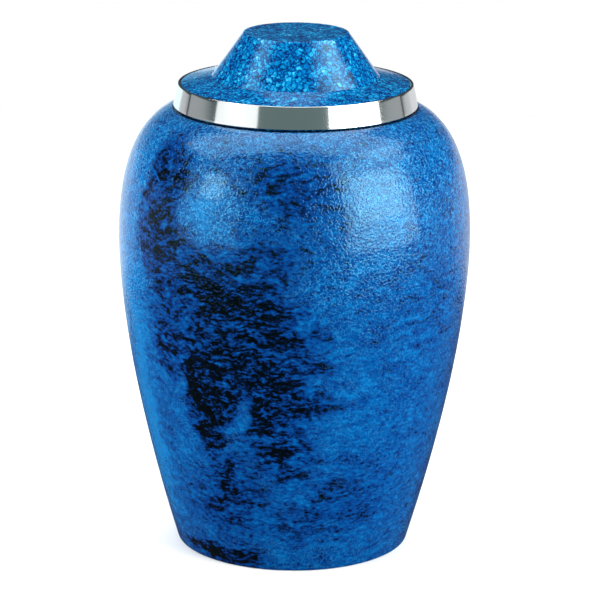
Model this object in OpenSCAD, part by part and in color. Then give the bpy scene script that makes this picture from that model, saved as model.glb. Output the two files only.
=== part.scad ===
// Lidded funeral urn: a thin-walled cast vessel, its lift-off lid, and a polished ring round the lid.
// Every piece is turned round Z. The urn stands on z = 0, and all sizes are in millimetres.

/* [Body] */
// Diameter of the foot
foot_d = 114; // [108:1:118]
// Greatest diameter, at the belly
belly_d = 171.5; // [168:0.5:176]
// Height of the widest line of the belly
belly_z = 154; // [150:1:158]
// Diameter at the top of the shoulder
shoulder_d = 117.2; // [116:0.2:119]
// Height of the top of the shoulder, where the lid is seated
shoulder_z = 218; // [215:0.5:221]
// Lean of the wall at the foot, in degrees from upright
foot_lean = 17; // [12:1:20]
// Lean of the wall at the top of the shoulder, in degrees from upright
shoulder_lean = 71; // [66:1:76]
// How far the wall keeps its lean above the foot
foot_pull = 51; // [40:1:60]
// How far the wall runs upright below the belly line
belly_pull_down = 44; // [36:1:50]
// How far the wall runs upright above the belly line
belly_pull_up = 43; // [38:1:46]
// How far the shoulder keeps its lean below its top
shoulder_pull = 15; // [10:1:18]
// Thickness of the cast wall
wall = 3; // [2.5:0.5:3.5]
// Thickness of the floor
floor_t = 4; // [3:0.5:6]
// Height of the hollow under the foot
foot_hollow = 2; // [1:0.5:3]
// Width of the ring that the urn stands on
foot_ring_w = 10; // [8:1:16]

/* [Neck] */
// Outer diameter of the neck that the lid drops over
neck_d = 106.6; // [104:0.2:106.6]
// Height of the neck above the shoulder
neck_h = 7; // [5:0.5:7]

/* [Lid] */
// Height of the lid's outer edge above the shoulder
flange_h = 11.2; // [11:0.1:12]
// Rise of the flange from its edge to the knob
flange_rise = 3.4; // [2.5:0.1:4.5]
// Diameter of the knob where it leaves the flange
knob_foot_d = 81; // [76:1:84]
// Diameter of the knob's flat top
knob_top_d = 50.6; // [46:0.2:56]
// Height of the whole urn
total_h = 254; // [250:1:258]
// Thickness of the lid's wall
lid_wall = 3; // [2.5:0.5:3]
// Gap between the neck and the inside of the lid
lid_play = 0.5; // [0.3:0.1:0.6]

/* [Rim band] */
// Outer diameter of the band at its lower edge
band_low_d = 118.2; // [117.8:0.1:119]
// Outer diameter of the band at its upper edge
band_top_d = 113.6; // [113.4:0.1:114.4]
// Thickness of the band
band_t = 1.5; // [1:0.1:1.5]
// Gap between the band's lower edge and the shoulder
band_gap = 0.6; // [0.4:0.1:1]

/* [Hidden] */
$fn = 120;

foot_edge_r = 1.2;     // rounding of the foot's outer edge
floor_corner_r = 6;    // rounding inside the vessel, between floor and wall
lip_r = 0.8;           // rounding of the neck's lip
knob_edge_r = 0.8;     // rounding of the knob's top edge and of the corner at its foot
flange_edge_r = 0.5;   // rounding of the flange's edge, inside the band
lid_inside_r = 1.2;    // rounding of the corners inside the lid
band_edge_r = 0.3;     // rounding of the band's two outer edges
curve_steps = 16;      // straight steps along each long curve of the wall
corner_steps = 4;      // straight steps round each small rounding

foot_r = foot_d / 2;
foot_ring_r = foot_r - foot_ring_w;
belly_r = belly_d / 2;
shoulder_r = shoulder_d / 2;
neck_r = neck_d / 2;
mouth_r = neck_r - wall;
neck_top = shoulder_z + neck_h;
floor_top = foot_hollow + floor_t;
flange_z = shoulder_z + flange_h;
knob_foot_z = flange_z + flange_rise;
lid_bore_r = neck_r + lid_play;

// The band's outer face, and its inner face, which is pressed onto the lid's skirt.
band_low = [band_low_d / 2, shoulder_z + band_gap];
band_top = [band_top_d / 2, flange_z];
band_low_in = band_low - [band_t, 0];
band_top_in = band_top - [band_t, 0];

// The wall's two curves, as [radius, height]: foot to belly, and belly to shoulder.
lower_curve = [
    [foot_r, 0],
    [foot_r, 0] + foot_pull * [sin(foot_lean), cos(foot_lean)],
    [belly_r, belly_z - belly_pull_down],
    [belly_r, belly_z]
];
upper_curve = [
    [belly_r, belly_z],
    [belly_r, belly_z + belly_pull_up],
    [shoulder_r, shoulder_z] + shoulder_pull * [sin(shoulder_lean), -cos(shoulder_lean)],
    [shoulder_r, shoulder_z]
];

// A point on a cubic curve, and the curve's direction there.
function curve_point(c, t) =
    pow(1 - t, 3) * c[0] + 3 * t * pow(1 - t, 2) * c[1] + 3 * t * t * (1 - t) * c[2] + pow(t, 3) * c[3];
function curve_direction(c, t) =
    pow(1 - t, 2) * (c[1] - c[0]) + 2 * t * (1 - t) * (c[2] - c[1]) + t * t * (c[3] - c[2]);

// The outward side of a wall that is followed upwards.
function outward(direction) = [direction.y, -direction.x] / norm(direction);

// The points along a curve from one place on it to its end, moved inwards by a depth.
function wall_points(c, depth, from = 0) = [
    for (i = [0 : curve_steps])
        let (t = from + (1 - from) * i / curve_steps)
        curve_point(c, t) - depth * outward(curve_direction(c, t))
];

// The corner at b of a wall's inner side, where the outer side runs a, b, c.
function inner_corner(a, b, c, depth) =
    let (
        below = outward(b - a),
        above = outward(c - b)
    )
    b - depth * (below + above) / (1 + below * above);

// The arc of radius r that rounds the corner at b, on the way from a to c.
function rounded(a, b, c, r) =
    let (
        back = (a - b) / norm(a - b),
        ahead = (c - b) / norm(c - b),
        half_angle = acos(back * ahead) / 2,
        centre = b + (back + ahead) / norm(back + ahead) * r / sin(half_angle),
        start = b + back * r / tan(half_angle),
        finish = b + ahead * r / tan(half_angle)
    )
    [
        for (i = [0 : corner_steps])
            let (ray = start + (finish - start) * i / corner_steps - centre)
            centre + r * ray / norm(ray)
    ];

function reversed(list) = [for (i = [len(list) - 1 : -1 : 0]) list[i]];

// The vessel: a floor on a foot ring, one flowing wall, and a neck that stands on the shoulder.
module body() {
    outside = concat(wall_points(lower_curve, 0, 0.04), wall_points(upper_curve, 0));
    inside = concat(wall_points(lower_curve, wall, 0.12), wall_points(upper_curve, wall));
    floor_edge = [foot_r + floor_top * tan(foot_lean) - wall / cos(foot_lean), floor_top];
    neck_root = [mouth_r, shoulder_z - wall];

    color("#0d5cab")
    rotate_extrude()
    polygon(concat(
        [[0, foot_hollow], [foot_ring_r - foot_hollow, foot_hollow], [foot_ring_r, 0]],
        rounded([foot_ring_r, 0], [foot_r, 0], outside[0], foot_edge_r),
        outside,
        [[neck_r, shoulder_z]],
        rounded([neck_r, shoulder_z], [neck_r, neck_top], [mouth_r, neck_top], lip_r),
        rounded([neck_r, neck_top], [mouth_r, neck_top], neck_root, lip_r),
        [neck_root],
        reversed(inside),
        rounded(inside[0], floor_edge, [0, floor_top], floor_corner_r),
        [[0, floor_top]]
    ));
}

// The lid: a tapered skirt that stands on the shoulder, a sloping flange and a hollow, flat-topped knob.
module lid() {
    skirt_slope = (band_low_in.x - band_top_in.x) / (band_top_in.y - band_low_in.y);
    skirt_foot = [band_low_in.x + band_gap * skirt_slope, shoulder_z];
    knob_foot = [knob_foot_d / 2, knob_foot_z];
    knob_edge = [knob_top_d / 2, total_h];
    knob_middle = [0, total_h];

    inside_knob_foot = inner_corner(band_top_in, knob_foot, knob_edge, lid_wall);
    inside_knob_edge = inner_corner(knob_foot, knob_edge, knob_middle, lid_wall);
    inside_middle = knob_middle - [0, lid_wall];
    flange_slope = (knob_foot.y - band_top_in.y) / (knob_foot.x - band_top_in.x);
    inside_flange_edge = [
        lid_bore_r,
        inside_knob_foot.y + (lid_bore_r - inside_knob_foot.x) * flange_slope
    ];
    skirt_inside_foot = [lid_bore_r, shoulder_z];

    color("#1560ab")
    rotate_extrude()
    polygon(concat(
        [skirt_inside_foot, skirt_foot],
        rounded(skirt_foot, band_top_in, knob_foot, flange_edge_r),
        rounded(band_top_in, knob_foot, knob_edge, knob_edge_r),
        rounded(knob_foot, knob_edge, knob_middle, knob_edge_r),
        [knob_middle, inside_middle],
        rounded(inside_middle, inside_knob_edge, inside_knob_foot, lid_inside_r),
        rounded(inside_knob_edge, inside_knob_foot, inside_flange_edge, lid_inside_r),
        rounded(inside_knob_foot, inside_flange_edge, skirt_inside_foot, lid_inside_r)
    ));
}

// The band: a bright tapered ring pressed down over the lid's skirt, clear of the shoulder.
module rim_band() {
    color("#c9ccce")
    rotate_extrude()
    polygon(concat(
        [band_low_in],
        rounded(band_low_in, band_low, band_top, band_edge_r),
        rounded(band_low, band_top, band_top_in, band_edge_r),
        [band_top_in]
    ));
}

body();
lid();
rim_band();
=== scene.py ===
import math

import bpy
from mathutils import Matrix, Vector
from mathutils.geometry import interpolate_bezier


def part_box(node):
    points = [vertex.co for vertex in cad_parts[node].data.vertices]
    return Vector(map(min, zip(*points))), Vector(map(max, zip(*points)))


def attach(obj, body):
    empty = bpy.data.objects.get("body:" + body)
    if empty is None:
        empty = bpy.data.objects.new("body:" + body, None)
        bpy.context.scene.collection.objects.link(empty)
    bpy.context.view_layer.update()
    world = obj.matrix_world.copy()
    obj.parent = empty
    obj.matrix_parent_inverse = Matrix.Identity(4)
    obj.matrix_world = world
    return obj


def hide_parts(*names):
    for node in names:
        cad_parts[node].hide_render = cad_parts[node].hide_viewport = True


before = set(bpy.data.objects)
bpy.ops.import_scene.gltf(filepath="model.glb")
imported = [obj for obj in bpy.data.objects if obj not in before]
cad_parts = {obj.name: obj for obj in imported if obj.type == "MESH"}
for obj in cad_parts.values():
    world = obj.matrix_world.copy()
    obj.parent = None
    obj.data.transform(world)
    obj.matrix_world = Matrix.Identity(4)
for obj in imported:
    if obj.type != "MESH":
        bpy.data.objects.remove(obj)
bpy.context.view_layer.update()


# ---- The vessel ------------------------------------------------------------------------------------
# A thin-walled aluminium casting, dressed smooth outside, with a foot ring, a full shoulder and a short
# neck that the lid drops over. Its outside is sponged in azure, navy and black enamel under a clear
# gloss; its inside, its neck and its underside are left as cast.

body_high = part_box("body")[1]
lid_low, lid_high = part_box("lid")

wall = 0.003
floor_top = 0.006
foot_r = 0.057
foot_ring_r = 0.047
foot_hollow = 0.002
foot_lean = math.radians(17)
foot_pull = 0.051
foot_edge_r = 0.0012
floor_corner_r = 0.006
belly_r = body_high.x
belly_z = 0.154
belly_pull_down = 0.044
belly_pull_up = 0.043
shoulder_r = 0.0586
shoulder_z = lid_low.z
shoulder_lean = math.radians(71)
shoulder_pull = 0.015
neck_r = 0.0533
mouth_r = neck_r - wall
neck_top = body_high.z
lip_r = 0.0008
CORNER_STEPS = 6
CIRCLE_R = 0.001


def rounded(a, b, c, r):
    """The arc of radius r that rounds the corner at b, on the way from a to c."""
    back = (Vector(a) - Vector(b)).normalized()
    ahead = (Vector(c) - Vector(b)).normalized()
    half_angle = back.angle(ahead) / 2
    centre = Vector(b) + (back + ahead).normalized() * r / math.sin(half_angle)
    start = Vector(b) + back * r / math.tan(half_angle)
    finish = Vector(b) + ahead * r / math.tan(half_angle)
    return [
        centre + (start.lerp(finish, i / CORNER_STEPS) - centre).normalized() * r
        for i in range(CORNER_STEPS + 1)
    ]


def inset(line, depth):
    """A wall's inner side: each point of its outer side moved inwards by the wall's thickness."""
    moved = []
    for i, point in enumerate(line):
        along = line[min(i + 1, len(line) - 1)] - line[max(i - 1, 0)]
        moved.append(point - Vector((along.y, -along.x)).normalized() * depth)
    return moved


def stepped(line, longest):
    """The same line with its long straight stretches cut into steps, so that shading stays even."""
    points = []
    for a, b in zip(line, line[1:]):
        cuts = max(1, math.ceil((b - a).length / longest))
        points += [a.lerp(b, i / cuts) for i in range(cuts)]
    return points + [line[-1]]


def add_node(tree, kind, inputs={}, **settings):
    """Adds a node, sets its properties, and sets or links its inputs. Gives the node back."""
    node = tree.nodes.new(kind)
    for name, value in settings.items():
        setattr(node, name, value)
    for key, value in inputs.items():
        if isinstance(value, bpy.types.NodeSocket):
            tree.links.new(value, node.inputs[key])
        else:
            node.inputs[key].default_value = value
    return node


def lathe_tree():
    """Turns a flat outline, x its radius and y its depth below the origin, round Z, and gives its
    skin slow waves."""
    tree = bpy.data.node_groups.new("lathe", "GeometryNodeTree")
    for name, kind in (
        ("Outline", "NodeSocketGeometry"),
        ("Steps round", "NodeSocketInt"),
        ("Wave depth", "NodeSocketFloat"),
        ("Wave length", "NodeSocketFloat"),
        ("Wave seed", "NodeSocketFloat"),
        ("Skin finish", "NodeSocketMaterial"),
        ("Bare finish", "NodeSocketMaterial"),
    ):
        tree.interface.new_socket(name, in_out="INPUT", socket_type=kind)
    tree.interface.new_socket("Piece", in_out="OUTPUT", socket_type="NodeSocketGeometry")
    sizes = add_node(tree, "NodeGroupInput").outputs

    # The outline is carried round a circle that is far smaller than any piece.
    outline = add_node(tree, "GeometryNodeMeshToCurve", {"Mesh": sizes["Outline"]})
    circle = add_node(
        tree, "GeometryNodeCurvePrimitiveCircle",
        {"Resolution": sizes["Steps round"], "Radius": CIRCLE_R},
    )
    turned = add_node(
        tree, "GeometryNodeCurveToMesh",
        {"Curve": circle.outputs["Curve"], "Profile Curve": outline.outputs["Curve"]},
    )
    closed = add_node(
        tree, "GeometryNodeMergeByDistance",
        {"Geometry": turned.outputs["Mesh"], "Distance": 1e-6},
    )

    # Slow waves of a sand casting under its enamel, none at the foot and none on bare metal.
    place = add_node(tree, "GeometryNodeInputPosition")
    height = add_node(tree, "ShaderNodeSeparateXYZ", {"Vector": place.outputs["Position"]})
    above_foot = add_node(
        tree, "ShaderNodeMapRange",
        {"Value": height.outputs["Z"], "From Min": 0.001, "From Max": 0.012},
    )
    skin = add_node(
        tree, "GeometryNodeInputNamedAttribute", {"Name": "skin"}, data_type="FLOAT",
    )
    wave_scale = add_node(
        tree, "ShaderNodeMath", {0: 1.0, 1: sizes["Wave length"]}, operation="DIVIDE",
    )
    waves = add_node(
        tree, "ShaderNodeTexNoise",
        {
            "Vector": place.outputs["Position"],
            "W": sizes["Wave seed"],
            "Scale": wave_scale.outputs["Value"],
            "Detail": 1.0,
        },
        noise_dimensions="4D",
    )
    centred = add_node(
        tree, "ShaderNodeMath", {0: waves.outputs["Fac"], 1: 0.5}, operation="SUBTRACT",
    )
    depth = add_node(
        tree, "ShaderNodeMath", {0: centred.outputs["Value"], 1: sizes["Wave depth"]},
        operation="MULTIPLY",
    )
    faded = add_node(
        tree, "ShaderNodeMath", {0: depth.outputs["Value"], 1: above_foot.outputs["Result"]},
        operation="MULTIPLY",
    )
    on_skin = add_node(
        tree, "ShaderNodeMath", {0: faded.outputs["Value"], 1: skin.outputs["Attribute"]},
        operation="MULTIPLY",
    )
    facing = add_node(tree, "GeometryNodeInputNormal")
    offset = add_node(
        tree, "ShaderNodeVectorMath",
        {0: facing.outputs["Normal"], "Scale": on_skin.outputs["Value"]},
        operation="SCALE",
    )
    waved = add_node(
        tree, "GeometryNodeSetPosition",
        {"Geometry": closed.outputs["Geometry"], "Offset": offset.outputs["Vector"]},
    )

    smooth = add_node(tree, "GeometryNodeSetShadeSmooth", {"Geometry": waved.outputs["Geometry"]})
    real = add_node(tree, "GeometryNodeRealizeInstances", {"Geometry": smooth.outputs["Geometry"]})
    skinned = add_node(
        tree, "GeometryNodeSetMaterial",
        {"Geometry": real.outputs["Geometry"], "Material": sizes["Skin finish"]},
    )
    bare = add_node(
        tree, "FunctionNodeCompare", {"A": skin.outputs["Attribute"], "B": 0.5},
        data_type="FLOAT", operation="LESS_THAN",
    )
    finished = add_node(
        tree, "GeometryNodeSetMaterial",
        {
            "Geometry": skinned.outputs["Geometry"],
            "Selection": bare.outputs["Result"],
            "Material": sizes["Bare finish"],
        },
    )
    add_node(tree, "NodeGroupOutput", {"Piece": finished.outputs["Geometry"]})
    return tree


lathe = lathe_tree()


def turn(name, outline, **sizes):
    """Turns an outline into a piece. It runs anticlockwise as (radius, height, skin), where skin is 1
    on enamelled metal and 0 on bare metal. It is closed by its last edge, unless it ends on the axis."""
    count = len(outline)
    flat = bpy.data.meshes.new(name)
    flat.from_pydata(
        [(r - CIRCLE_R, -z, 0) for r, z, skin in reversed(outline)],
        [(i, (i + 1) % count) for i in range(count - 1 if outline[0][0] == 0 else count)],
        [],
    )
    skins = [skin for r, z, skin in reversed(outline)]
    flat.attributes.new("skin", "FLOAT", "POINT").data.foreach_set("value", skins)
    blank = bpy.data.objects.new(name, flat)
    bpy.context.scene.collection.objects.link(blank)
    modifier = blank.modifiers.new("lathe", "NODES")
    modifier.node_group = lathe
    for item in lathe.interface.items_tree:
        if item.in_out == "INPUT" and item.name in sizes:
            modifier[item.identifier] = sizes[item.name]
    bpy.context.view_layer.update()
    shaped = blank.evaluated_get(bpy.context.evaluated_depsgraph_get())
    piece_mesh = bpy.data.meshes.new_from_object(shaped)
    blank.modifiers.remove(modifier)
    blank.data = piece_mesh
    return blank


def marked(line, skin):
    """The line's points with skin beside each one."""
    return [(p[0], p[1], skin) for p in line]


foot = Vector((foot_r, 0))
belly = Vector((belly_r, belly_z))
shoulder = Vector((shoulder_r, shoulder_z))
foot_handle = foot + foot_pull * Vector((math.sin(foot_lean), math.cos(foot_lean)))
below_belly = belly - Vector((0, belly_pull_down))
above_belly = belly + Vector((0, belly_pull_up))
shoulder_handle = shoulder + shoulder_pull * Vector((math.sin(shoulder_lean), -math.cos(shoulder_lean)))
lower_wall = interpolate_bezier(foot, foot_handle, below_belly, belly, 80)
upper_wall = interpolate_bezier(belly, above_belly, shoulder_handle, shoulder, 60)
outer_wall = lower_wall + upper_wall[1:]
# The inner side starts above the floor's rounded corner, and every third point is enough for it.
inner_wall = inset(outer_wall, wall)[8::3]
floor_edge = Vector((foot_r + floor_top * math.tan(foot_lean) - wall / math.cos(foot_lean), floor_top))
neck_root = Vector((mouth_r, shoulder_z - wall))
foot_corner = rounded((foot_ring_r, 0), foot, outer_wall[2], foot_edge_r)
lip = (
    rounded((neck_r, shoulder_z), (neck_r, neck_top), (mouth_r, neck_top), lip_r)
    + rounded((neck_r, neck_top), (mouth_r, neck_top), neck_root, lip_r)
)
underside = stepped(
    [Vector((0, foot_hollow)), Vector((foot_ring_r - foot_hollow, foot_hollow)), Vector((foot_ring_r, 0))],
    0.004,
)
neck = stepped([Vector((neck_r, shoulder_z)), lip[0]], 0.002)
inside = stepped(
    [neck_root] + inner_wall[::-1]
    + rounded(inner_wall[0], floor_edge, (0, floor_top), floor_corner_r)
    + [Vector((0, floor_top))],
    0.006,
)
# From the middle of the underside: up the outside, over the neck, and down the inside to the floor.
# The foot's rounded corner takes the place of the outer wall's first three points.
vessel_outline = (
    marked(underside, 0)
    + marked(foot_corner + outer_wall[3:], 1)
    + marked(neck + lip[1:] + inside, 0)
)


def linear(hex_colour):
    """A linear colour from its sRGB hex value, such as #0a4f94."""
    parts = [int(hex_colour[i:i + 2], 16) / 255 for i in (1, 3, 5)]
    return [p / 12.92 if p <= 0.04045 else ((p + 0.055) / 1.055) ** 2.4 for p in parts] + [1.0]


def per_mm(size):
    """The scale at which a texture's pattern has about this size in millimetres."""
    return 1000 / size


def new_material(name):
    """A new material with an empty node tree."""
    material = bpy.data.materials.new(name)
    material.use_nodes = True
    material.node_tree.nodes.clear()
    return material


def colour_ramp(tree, value, stops):
    """A ramp that blends the hex colours at the given places along value."""
    ramp = add_node(tree, "ShaderNodeValToRGB", {"Fac": value})
    elements = ramp.color_ramp.elements
    while len(elements) < len(stops):
        elements.new(1.0)
    for element, (at, hex_colour) in zip(elements, stops):
        element.position = at
        element.color = linear(hex_colour)
    return ramp.outputs["Color"]


def strayed_place(tree, place, size, detail, roughness, reach):
    """The same place moved by a cloudy noise of this size in millimetres. Reach is the whole width of
    the move along each axis, and most places keep to the middle third of it."""
    wander = add_node(
        tree, "ShaderNodeTexNoise",
        {"Vector": place, "Scale": per_mm(size), "Detail": detail, "Roughness": roughness},
    )
    shift = add_node(
        tree, "ShaderNodeVectorMath",
        {0: wander.outputs["Color"], 1: (0.5, 0.5, 0.5)}, operation="SUBTRACT",
    )
    return add_node(
        tree, "ShaderNodeVectorMath",
        {0: shift.outputs["Vector"], 1: reach, 2: place}, operation="MULTIPLY_ADD",
    ).outputs["Vector"]


def enamel_gloss(tree, place, colour, relief, depth):
    """The gloss over a coat of enamel. Its relief, so many millimetres deep, breaks the lamps up into
    glints. A clear gloss mirrors lamps in their own colour; this one is tinted towards cyan, so that
    the highlights stay as blue as the enamel under them."""
    bump = add_node(
        tree, "ShaderNodeBump", {"Height": relief, "Distance": depth / 1000, "Strength": 1.0},
    )
    haze = add_node(
        tree, "ShaderNodeTexNoise", {"Vector": place, "Scale": per_mm(7), "Detail": 3.0},
    )
    roughness = add_node(
        tree, "ShaderNodeMapRange",
        {"Value": haze.outputs["Fac"], "From Min": 0.3, "From Max": 0.7, "To Min": 0.06, "To Max": 0.11},
    )
    surface = add_node(
        tree, "ShaderNodeBsdfPrincipled",
        {
            "Base Color": colour,
            "Roughness": roughness.outputs["Result"],
            "Normal": bump.outputs["Normal"],
            "IOR": 1.52,
            "Specular Tint": (0.42, 0.88, 1.0, 1.0),
        },
    )
    add_node(tree, "ShaderNodeOutputMaterial", {"Surface": surface.outputs["BSDF"]})


# Dabs of dark enamel from the sponge, and of clean azure, which have a strength below 0; three of the
# azure ones are partly painted light, as said below. Each is (degrees round from the front, height, half
# width, half height, strength), with lengths in millimetres. The last three rows lie on the back.
DABS = (
    (-28, 150, 62, 34, 0.55), (-20, 114, 52, 34, 0.60), (-30, 100, 16, 14, 1.20), (-46, 112, 7, 18, 0.50),
    (-32, 88, 14, 22, 0.90), (-30, 70, 10, 10, 0.60), (-7, 82, 17, 32, 0.70), (-1, 62, 15, 20, 0.45),
    (0, 124, 22, 10, 0.25), (-12, 138, 30, 12, 0.30), (-50, 186, 22, 40, 0.68), (4, 186, 34, 40, 0.26),
    (8, 88, 18, 12, 0.30), (8, 68, 14, 10, 0.22), (12, 108, 20, 12, 0.25), (20, 44, 44, 20, 0.20),
    (10, 26, 44, 18, 0.22), (-26, 50, 26, 22, 0.42), (-30, 28, 34, 24, 0.28), (-36, 4, 28, 9, 0.80),
    (60, 24, 4, 2, 0.80), (44, 150, 40, 50, 0.12), (-10, 202, 40, 20, 0.25), (26, 62, 30, 12, 0.08),
    (-40, 95, 8, 8, -0.40), (-19, 84, 6, 12, -0.15), (20, 90, 16, 40, -0.12), (-14, 48, 12, 6, -0.15),
    # Of the clean azure dabs, (-72, 50) lightens the lower left edge, which the lamps leave dim, and (-28,
    # 180) and (30, 178) lie under the two side softboxes' highlights: all three are partly the enamel's
    # own azure and partly painted light and painted highlight.
    (-68, 100, 22, 130, -0.70), (-72, 50, 20, 50, -0.50), (-28, 180, 16, 20, -0.40),
    (30, 178, 24, 30, -0.20),
    (110, 170, 40, 34, 0.50), (125, 135, 50, 30, 0.60), (118, 96, 18, 34, 0.60), (140, 60, 34, 20, 0.45),
    (165, 150, 34, 26, 0.40), (175, 30, 40, 18, 0.50), (-160, 120, 44, 30, 0.55), (-150, 84, 16, 30, 0.65),
    (-125, 165, 34, 36, 0.45), (-120, 50, 34, 20, 0.40), (-95, 20, 24, 14, 0.35), (90, 40, 28, 22, 0.30),
)
# How far a dab reaches into the urn, and about how dark dabs that lie on one another can get.
DAB_DEPTH = 0.03
DAB_LIMIT = 0.58


def vessel_enamel():
    """Sponged marble enamel: azure laid first, then navy and black dabbed on while it was wet and
    dragged a little sideways. It gives the eye ragged clouds, wisps and fine leathery mottling."""
    material = new_material("marbled_enamel")
    tree = material.node_tree
    place = add_node(tree, "ShaderNodeTexCoord").outputs["Object"]

    # The clouds' edges wander by up to about a centimetre.
    strayed = strayed_place(tree, place, 22, 3.0, 0.6, (0.035, 0.035, 0.022))

    clouds = 0.0
    for azimuth, height, half_width, half_height, strength in DABS:
        angle = math.radians(azimuth)
        at_wall = min(outer_wall, key=lambda p: abs(p.y - height / 1000)).x
        dab = add_node(
            tree, "ShaderNodeMapping",
            {
                "Vector": strayed,
                "Location": (at_wall * math.sin(angle), -at_wall * math.cos(angle), height / 1000),
                "Rotation": (0, 0, angle),
                "Scale": (half_width / 1000, DAB_DEPTH, half_height / 1000),
            },
            vector_type="TEXTURE",
        )
        nearness = add_node(
            tree, "ShaderNodeTexGradient", {"Vector": dab.outputs["Vector"]}, gradient_type="SPHERICAL",
        )
        clouds = add_node(
            tree, "ShaderNodeMath", {0: nearness.outputs["Fac"], 1: strength, 2: clouds},
            operation="MULTIPLY_ADD",
        ).outputs["Value"]

    # However many dabs lie on one another, the sponge leaves holes in them.
    holed = add_node(
        tree, "ShaderNodeMath", {0: clouds, 1: DAB_LIMIT, 2: 0.4}, operation="SMOOTH_MIN",
    )

    # Wisps about 12 mm long and 4 mm high, dragged out sideways, break the clouds up.
    dragged = add_node(
        tree, "ShaderNodeMapping", {"Vector": strayed, "Scale": (1, 1, 3.2)}, vector_type="POINT",
    )
    wisps = add_node(
        tree, "ShaderNodeTexNoise",
        {
            "Vector": dragged.outputs["Vector"], "Scale": per_mm(12),
            "Detail": 6.0, "Roughness": 0.68, "Distortion": 0.3,
        },
    )
    # The sponge's pores and the leathery mottling of the azure, 1 to 3 mm across and dragged as well.
    dragged_pores = add_node(
        tree, "ShaderNodeMapping", {"Vector": place, "Scale": (1, 1, 1.9)}, vector_type="POINT",
    )
    pores = add_node(
        tree, "ShaderNodeTexNoise",
        {
            "Vector": dragged_pores.outputs["Vector"], "Scale": per_mm(2.6),
            "Detail": 3.0, "Roughness": 0.6,
        },
    )
    # The grain is the two together, centred on 0.
    wisp_share = 2.6
    pore_share = 1.7
    centred_pores = add_node(
        tree, "ShaderNodeMath",
        {0: pores.outputs["Fac"], 1: pore_share, 2: -(wisp_share + pore_share) / 2},
        operation="MULTIPLY_ADD",
    )
    grain = add_node(
        tree, "ShaderNodeMath",
        {0: wisps.outputs["Fac"], 1: wisp_share, 2: centred_pores.outputs["Value"]},
        operation="MULTIPLY_ADD",
    )
    # The grain is fainter in the plain azure than in the dabs.
    grain_strength = add_node(
        tree, "ShaderNodeMapRange",
        {"Value": holed.outputs["Value"], "From Max": 0.45, "To Min": 0.68, "To Max": 1.14},
    )
    grained = add_node(
        tree, "ShaderNodeMath",
        {0: grain.outputs["Value"], 1: grain_strength.outputs["Result"], 2: holed.outputs["Value"]},
        operation="MULTIPLY_ADD",
    )
    darkness = add_node(
        tree, "ShaderNodeMapRange",
        {"Value": grained.outputs["Value"], "From Min": -0.5, "From Max": 1.0},
    )
    enamel = colour_ramp(
        tree, darkness.outputs["Result"],
        (
            (0.00, "#005c96"), (0.14, "#004e88"), (0.31, "#003b74"), (0.44, "#012e6a"),
            (0.55, "#011e50"), (0.66, "#000a22"), (0.76, "#000104"),
        ),
    )
    # Painted glints: pale curling strands under 1 mm wide, where no dark enamel lies, and stronger towards
    # the shoulder, where the lamps' highlights fall. They lie along the middle level of a cloudy noise.
    curls = add_node(
        tree, "ShaderNodeTexNoise", {"Vector": place, "Scale": per_mm(1.9), "Detail": 1.0},
    )
    middle_level = add_node(
        tree, "ShaderNodeMath", {0: curls.outputs["Fac"], 1: 0.5}, operation="PINGPONG",
    )
    height = add_node(tree, "ShaderNodeSeparateXYZ", {"Vector": strayed})
    glint_strength_by_height = add_node(
        tree, "ShaderNodeMapRange",
        {"Value": height.outputs["Z"], "From Min": 0.12, "From Max": 0.19, "To Min": 0.14, "To Max": 0.46},
    )
    glint_strength_off_dabs = add_node(
        tree, "ShaderNodeMapRange",
        {
            "Value": holed.outputs["Value"], "From Min": 0.24, "From Max": 0.02,
            "To Max": glint_strength_by_height.outputs["Result"],
        },
    )
    painted_glint_strands = add_node(
        tree, "ShaderNodeMapRange",
        {
            "Value": middle_level.outputs["Value"], "From Min": 0.455, "From Max": 0.49,
            "To Max": glint_strength_off_dabs.outputs["Result"],
        },
    )
    with_painted_glints = add_node(
        tree, "ShaderNodeMix",
        {"Factor": painted_glint_strands.outputs["Result"], 6: enamel, 7: linear("#3c9fd0")}, data_type="RGBA",
    )
    # Painted shade: a ring of near-black in the enamel in the corner under the rim band, where the band's
    # overhang shades the shoulder.
    level = add_node(tree, "ShaderNodeSeparateXYZ", {"Vector": place})
    painted_gap_shade = add_node(
        tree, "ShaderNodeMapRange",
        {
            "Value": level.outputs["Z"],
            "From Min": shoulder_z - 0.00055, "From Max": shoulder_z - 0.00025,
        },
    )
    colour = add_node(
        tree, "ShaderNodeMix",
        {"Factor": painted_gap_shade.outputs["Result"], 6: with_painted_glints.outputs[2], 7: linear("#000818")},
        data_type="RGBA",
    ).outputs[2]
    # The leathery skin: level pads and level hollows about 1 mm across, with short slopes between them.
    leather = add_node(
        tree, "ShaderNodeTexNoise", {"Vector": place, "Scale": per_mm(1.15), "Detail": 0.0},
    )
    pads = add_node(
        tree, "ShaderNodeMapRange",
        {"Value": leather.outputs["Fac"], "From Min": 0.38, "From Max": 0.62},
        interpolation_type="SMOOTHSTEP",
    )
    enamel_gloss(tree, place, colour, pads.outputs["Result"], 0.078)
    return material


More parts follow.
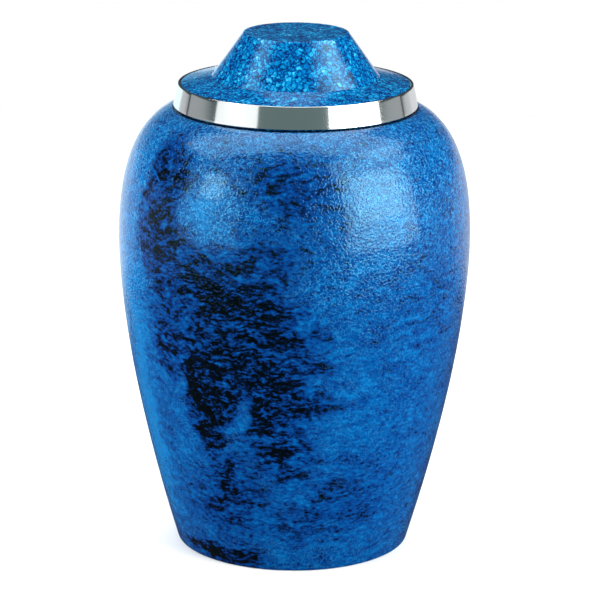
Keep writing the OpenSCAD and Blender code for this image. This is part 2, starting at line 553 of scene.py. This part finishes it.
def cast_metal():
    """Aluminium as it came from the sand: pale grey and dull, with an even sandy grain."""
    material = new_material("as_cast_aluminium")
    tree = material.node_tree
    place = add_node(tree, "ShaderNodeTexCoord").outputs["Object"]
    sand = add_node(
        tree, "ShaderNodeTexNoise", {"Vector": place, "Scale": per_mm(0.9), "Detail": 4.0},
    )
    colour = colour_ramp(tree, sand.outputs["Fac"], ((0.3, "#8f9193"), (0.7, "#b4b6b8")))
    bump = add_node(
        tree, "ShaderNodeBump", {"Height": sand.outputs["Fac"], "Distance": 0.0002, "Strength": 0.8},
    )
    surface = add_node(
        tree, "ShaderNodeBsdfPrincipled",
        {"Base Color": colour, "Metallic": 1.0, "Roughness": 0.55, "Normal": bump.outputs["Normal"]},
    )
    add_node(tree, "ShaderNodeOutputMaterial", {"Surface": surface.outputs["BSDF"]})
    return material


bare_metal = cast_metal()
vessel = turn(
    "urn_vessel",
    vessel_outline,
    **{
        "Steps round": 288, "Wave depth": 0.0002, "Wave length": 0.018, "Wave seed": 3.0,
        "Skin finish": vessel_enamel(), "Bare finish": bare_metal,
    },
)
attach(vessel, "root")
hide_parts("body")


# ---- The lid ---------------------------------------------------------------------------------------
# A hollow casting that drops over the neck: a skirt inside the rim band, a gently sloping flange and
# a flat-topped conical knob to lift it by. Its enamel was stippled, not sponged, so it nets into cells.

band_low, band_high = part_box("rim_band")
band_low_r = 0.0591
band_top_r = 0.0568
band_t = 0.0015
band_gap = band_low.z - shoulder_z
flange_z = band_high.z
knob_foot_r = 0.0405
knob_foot_z = flange_z + 0.0034
knob_top_r = 0.0253
knob_top_z = lid_high.z
lid_wall = 0.003
lid_bore_r = neck_r + 0.0005
knob_edge_r = 0.0008
flange_edge_r = 0.0005
lid_inside_r = 0.0012


def inner_corner(a, b, c, depth):
    """The corner at b of a wall's inner side, where the outer side runs a, b, c."""
    along = (Vector(b) - Vector(a)).normalized()
    onward = (Vector(c) - Vector(b)).normalized()
    below = Vector((along.y, -along.x))
    above = Vector((onward.y, -onward.x))
    return Vector(b) - depth * (below + above) / (1 + below.dot(above))


skirt_slope = (band_low_r - band_top_r) / (flange_z - band_low.z)
skirt_foot = Vector((band_low_r - band_t + band_gap * skirt_slope, shoulder_z))
flange_edge = Vector((band_top_r - band_t, flange_z))
knob_foot = Vector((knob_foot_r, knob_foot_z))
knob_edge = Vector((knob_top_r, knob_top_z))
knob_middle = Vector((0, knob_top_z))
inner_knob_foot = inner_corner(flange_edge, knob_foot, knob_edge, lid_wall)
inner_knob_edge = inner_corner(knob_foot, knob_edge, knob_middle, lid_wall)
inner_middle = knob_middle - Vector((0, lid_wall))
flange_slope = (knob_foot.y - flange_edge.y) / (knob_foot.x - flange_edge.x)
inner_flange_edge = Vector((
    lid_bore_r, inner_knob_foot.y + (lid_bore_r - inner_knob_foot.x) * flange_slope,
))
skirt_inside_foot = Vector((lid_bore_r, shoulder_z))
lid_outside = stepped(
    [skirt_foot]
    + rounded(skirt_foot, flange_edge, knob_foot, flange_edge_r)
    + rounded(flange_edge, knob_foot, knob_edge, knob_edge_r)
    + rounded(knob_foot, knob_edge, knob_middle, knob_edge_r)
    + [knob_middle],
    0.0012,
)
lid_inside = stepped(
    [inner_middle]
    + rounded(inner_middle, inner_knob_edge, inner_knob_foot, lid_inside_r)
    + rounded(inner_knob_edge, inner_knob_foot, inner_flange_edge, lid_inside_r)
    + rounded(inner_knob_foot, inner_flange_edge, skirt_inside_foot, lid_inside_r)
    + [skirt_inside_foot],
    0.004,
)
# It starts and ends on the axis: down the inside, round the skirt's foot and up the outside.
lid_outline = marked(lid_inside, 0) + marked(lid_outside, 1)


def lid_enamel():
    """Stippled enamel: wet azure drawn back from a navy undercoat into small cells. It gives the eye
    a net of dark lines round paler, slightly domed spots, over blotches of deeper blue."""
    material = new_material("netted_enamel")
    tree = material.node_tree
    place = add_node(tree, "ShaderNodeTexCoord").outputs["Object"]
    # The net's lines wander by up to about a millimetre, so that no cell is a plain polygon.
    strayed = strayed_place(tree, place, 2.5, 2.0, 0.5, (0.004, 0.004, 0.004))
    net = add_node(
        tree, "ShaderNodeTexVoronoi", {"Vector": strayed, "Scale": per_mm(2.4)},
        feature="DISTANCE_TO_EDGE",
    )
    inside_cell = add_node(
        tree, "ShaderNodeMapRange",
        {"Value": net.outputs["Distance"], "From Min": 0.0, "From Max": 0.20},
        interpolation_type="SMOOTHSTEP",
    )
    cells = add_node(tree, "ShaderNodeTexVoronoi", {"Vector": strayed, "Scale": per_mm(2.4)})
    tones = add_node(tree, "ShaderNodeSeparateColor", {"Color": cells.outputs["Color"]})
    blotches = add_node(
        tree, "ShaderNodeTexNoise",
        {"Vector": place, "Scale": per_mm(5), "Detail": 5.0, "Roughness": 0.85},
    )
    # Each cell has a tone of its own over the blotches, and its middle is paler than the lines round it.
    toned = add_node(
        tree, "ShaderNodeMath", {0: tones.outputs["Red"], 1: 0.18, 2: blotches.outputs["Fac"]},
        operation="MULTIPLY_ADD",
    )
    laid = add_node(
        tree, "ShaderNodeMath",
        {0: inside_cell.outputs["Result"], 1: 0.30, 2: toned.outputs["Value"]},
        operation="MULTIPLY_ADD",
    )
    paleness = add_node(
        tree, "ShaderNodeMapRange",
        {"Value": laid.outputs["Value"], "From Min": 0.44, "From Max": 1.12},
    )
    colour = colour_ramp(
        tree, paleness.outputs["Result"],
        (
            (0.00, "#000a28"), (0.22, "#002252"), (0.45, "#004684"), (0.68, "#006a9e"),
            (0.86, "#1890b6"), (1.00, "#74bccc"),
        ),
    )
    enamel_gloss(tree, place, colour, laid.outputs["Value"], 0.05)
    return material


lid = turn(
    "urn_lid",
    lid_outline,
    **{
        "Steps round": 288, "Wave depth": 0.0002, "Wave length": 0.012, "Wave seed": 8.0,
        "Skin finish": lid_enamel(), "Bare finish": bare_metal,
    },
)
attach(lid, "root")
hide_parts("lid")


# ---- The rim band ----------------------------------------------------------------------------------
# A tapered ring of bright aluminium, turned and polished, and pressed down over the lid's skirt. It
# stops just short of the shoulder, and its edges are broken by a fine chamfer.

band_edge_r = 0.0003
band_foot_in = Vector((band_low_r - band_t, band_low.z))
band_foot = Vector((band_low_r, band_low.z))
band_top = Vector((band_top_r, flange_z))
band_top_in = Vector((band_top_r - band_t, flange_z))
band_outline = marked(
    stepped(
        [band_foot_in]
        + rounded(band_foot_in, band_foot, band_top, band_edge_r)
        + rounded(band_foot, band_top, band_top_in, band_edge_r)
        + [band_top_in],
        0.001,
    ),
    0,
)


def polished_metal():
    """Polished aluminium: near-white metal that mirrors the room, softened by the last fine cuts of
    the lathe, which run round it."""
    material = new_material("polished_aluminium")
    tree = material.node_tree
    place = add_node(tree, "ShaderNodeTexCoord").outputs["Object"]
    # The true cuts are about 0.1 mm apart; they are drawn 0.4 mm apart, so that they show at all.
    cuts = add_node(
        tree, "ShaderNodeMapping", {"Vector": place, "Scale": (0.02, 0.02, 1.0)}, vector_type="POINT",
    )
    lines = add_node(
        tree, "ShaderNodeTexNoise",
        {"Vector": cuts.outputs["Vector"], "Scale": per_mm(0.4), "Detail": 2.0},
    )
    bump = add_node(
        tree, "ShaderNodeBump", {"Height": lines.outputs["Fac"], "Distance": 0.00001, "Strength": 0.5},
    )
    roughness = add_node(
        tree, "ShaderNodeMapRange",
        {"Value": lines.outputs["Fac"], "From Min": 0.3, "From Max": 0.7, "To Min": 0.07, "To Max": 0.12},
    )
    surface = add_node(
        tree, "ShaderNodeBsdfPrincipled",
        {
            "Base Color": linear("#eaebeb"), "Metallic": 1.0,
            "Roughness": roughness.outputs["Result"], "Normal": bump.outputs["Normal"],
        },
    )
    add_node(tree, "ShaderNodeOutputMaterial", {"Surface": surface.outputs["BSDF"]})
    return material


bright_metal = polished_metal()
band = turn(
    "urn_rim_band",
    band_outline,
    **{
        "Steps round": 288, "Wave depth": 0.0, "Wave length": 0.02, "Wave seed": 0.0,
        "Skin finish": bright_metal, "Bare finish": bright_metal,
    },
)
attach(band, "root")
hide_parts("rim_band")


# ---- The studio ------------------------------------------------------------------------------------
# A plain pale floor in a pale room, and a long lens. Softboxes stand at both sides, a wide one hangs
# overhead, and two fills and a narrow panel behind brighten the urn's edges.

floor_r = 1.0
floor_sides = 96
floor_mesh = bpy.data.meshes.new("floor")
floor_mesh.from_pydata(
    [
        (floor_r * math.cos(i * math.tau / floor_sides), floor_r * math.sin(i * math.tau / floor_sides), 0)
        for i in range(floor_sides)
    ],
    [],
    [range(floor_sides)],
)
floor = bpy.data.objects.new("floor", floor_mesh)
bpy.context.scene.collection.objects.link(floor)
# What the metal and the gloss mirror below the urn is the pale room's own floor, not this one.
floor.visible_glossy = False

pale_paint = new_material("pale_matt_paint")
paint = add_node(
    pale_paint.node_tree, "ShaderNodeBsdfPrincipled",
    {"Base Color": linear("#f4f4f4"), "Roughness": 0.9, "Specular IOR Level": 0.1},
)
add_node(pale_paint.node_tree, "ShaderNodeOutputMaterial", {"Surface": paint.outputs["BSDF"]})
floor_mesh.materials.append(pale_paint)

LIGHT_TARGET = Vector((0, 0, 0.15))
LIGHT_DISTANCE = 1.2


def lamp_panel(name, place, facing, wide, tall, radiance, colour="#ffffff", glossy=True):
    """A lamp with a flat front of an even brightness, which faces one way and isn't seen itself. One
    that isn't glossy lights the urn but isn't mirrored in it."""
    lamp = bpy.data.lights.new(name, "AREA")
    lamp.shape = "RECTANGLE"
    lamp.size = wide
    lamp.size_y = tall
    lamp.energy = radiance * math.pi * wide * tall
    lamp.color = linear(colour)[:3]
    panel = bpy.data.objects.new(name, lamp)
    panel.location = place
    panel.rotation_euler = facing.to_track_quat("-Z", "Y").to_euler()
    panel.visible_camera = False
    panel.visible_glossy = glossy
    bpy.context.scene.collection.objects.link(panel)


def upright_softbox(name, left, right, low, high, radiance, colour="#ffffff", glossy=True):
    """An upright softbox on a stand. Its edges are angles seen from the urn: left and right round
    from the front, low and high above the level of the belly."""
    middle = math.radians((left + right) / 2)
    outwards = Vector((math.sin(middle), -math.cos(middle), 0))
    bottom = LIGHT_DISTANCE * math.tan(math.radians(low))
    top = LIGHT_DISTANCE * math.tan(math.radians(high))
    lamp_panel(
        name,
        LIGHT_TARGET + outwards * LIGHT_DISTANCE + Vector((0, 0, (bottom + top) / 2)),
        -outwards,
        2 * LIGHT_DISTANCE * math.tan(math.radians(right - left) / 2),
        top - bottom,
        radiance, colour, glossy,
    )


upright_softbox("key_softbox", 32, 84, -7, 36, 5.2)
upright_softbox("key_softbox_core", 40, 74, 4, 34, 4.4)
upright_softbox("key_softbox_top", 30, 104, 36, 58, 3.3)
upright_softbox("left_softbox", -79, -35, -7, 34, 1.0)
upright_softbox("left_softbox_core", -66, -50, 14, 32, 7.0)
upright_softbox("left_softbox_top", -77, -46, 34, 48, 0.4)
upright_softbox("left_fill", -115, -50, -7, 40, 4.4, glossy=False)
lamp_panel("overhead", Vector((0, 0.1, 1.35)), Vector((0, 0, -1)), 2.6, 0.9, 3.2)
upright_softbox("rim_panel", -178, -138, -20, 12, 0.6, colour="#a8dcf4")
upright_softbox("back_fill", 145, 215, 5, 55, 2.0, glossy=False)

world = bpy.data.worlds.new("pale_room")
world.use_nodes = True
room = world.node_tree
room.nodes.clear()
direction = add_node(room, "ShaderNodeTexCoord").outputs["Generated"]
heading = add_node(room, "ShaderNodeSeparateXYZ", {"Vector": direction})
depth_along = add_node(
    room, "ShaderNodeMapRange", {"Value": heading.outputs["Y"], "From Min": -1.0, "From Max": 1.0},
)
# The room as the metal and the gloss mirror it, from behind the lens round to behind the urn: dim, then
# grey at the sides, one dark upright strip, and then the pale floor going back behind the urn.
far_floor = colour_ramp(
    room, depth_along.outputs["Result"],
    (
        (0.00, "#667978"), (0.35, "#7c8a8a"), (0.45, "#9ba5a6"), (0.748, "#a5a8aa"), (0.754, "#3a3c3e"),
        (0.770, "#3a3c3e"), (0.776, "#c8ccd0"), (0.86, "#c8ccd0"), (0.90, "#e2e3e6"),
    ),
)
upper_room = colour_ramp(
    room, depth_along.outputs["Result"],
    ((0.00, "#667978"), (0.30, "#667978"), (0.45, "#3c484c")),
)
# The pale floor ends at the horizon behind the urn, and the grey of the sides a little above it.
lifted = add_node(
    room, "ShaderNodeMapRange",
    {
        "Value": depth_along.outputs["Result"], "From Min": 0.74, "From Max": 0.78,
        "To Min": 0.0, "To Max": 0.10,
    },
)
horizon = add_node(
    room, "ShaderNodeMath", {0: heading.outputs["Z"], 1: lifted.outputs["Result"]}, operation="ADD",
)
height_above = add_node(
    room, "ShaderNodeMapRange", {"Value": horizon.outputs["Value"], "From Min": 0.07, "From Max": 0.11},
)
above_floor = add_node(
    room, "ShaderNodeMix",
    {"Factor": height_above.outputs["Result"], 6: far_floor, 7: upper_room}, data_type="RGBA",
)
# Steeply below the level of the urn the mirrored floor is dim.
near_floor = add_node(
    room, "ShaderNodeMapRange", {"Value": heading.outputs["Z"], "From Min": -0.30, "From Max": -0.27},
)
dimmed = add_node(
    room, "ShaderNodeMix",
    {"Factor": near_floor.outputs["Result"], 6: linear("#484848"), 7: above_floor.outputs[2]},
    data_type="RGBA",
)
seen_by_lens = add_node(room, "ShaderNodeLightPath")
seen = add_node(room, "ShaderNodeBackground", {"Color": linear("#ffffff"), "Strength": 1.0})
mirrored = add_node(room, "ShaderNodeBackground", {"Color": dimmed.outputs[2], "Strength": 1.0})
either = add_node(
    room, "ShaderNodeMixShader",
    {
        "Fac": seen_by_lens.outputs["Is Camera Ray"],
        1: mirrored.outputs["Background"],
        2: seen.outputs["Background"],
    },
)
add_node(room, "ShaderNodeOutputWorld", {"Surface": either.outputs["Shader"]})
bpy.context.scene.world = world
bpy.context.scene.view_settings.view_transform = "Standard"

# A long lens a little above the urn, looking down on it.
CAMERA_DISTANCE = 1.4703
CAMERA_HEIGHT = 0.5305
CAMERA_DOWN = math.radians(15.54)
CAMERA_ROLL = math.radians(0.48)
lens = bpy.data.cameras.new("camera")
lens.lens = 187.9
camera = bpy.data.objects.new("camera", lens)
camera.matrix_world = (
    Matrix.Translation((0.0017, -CAMERA_DISTANCE, CAMERA_HEIGHT))
    @ Matrix.Rotation(math.pi / 2 - CAMERA_DOWN, 4, "X")
    @ Matrix.Rotation(CAMERA_ROLL, 4, "Z")
)
bpy.context.scene.collection.objects.link(camera)
bpy.context.scene.camera = camera
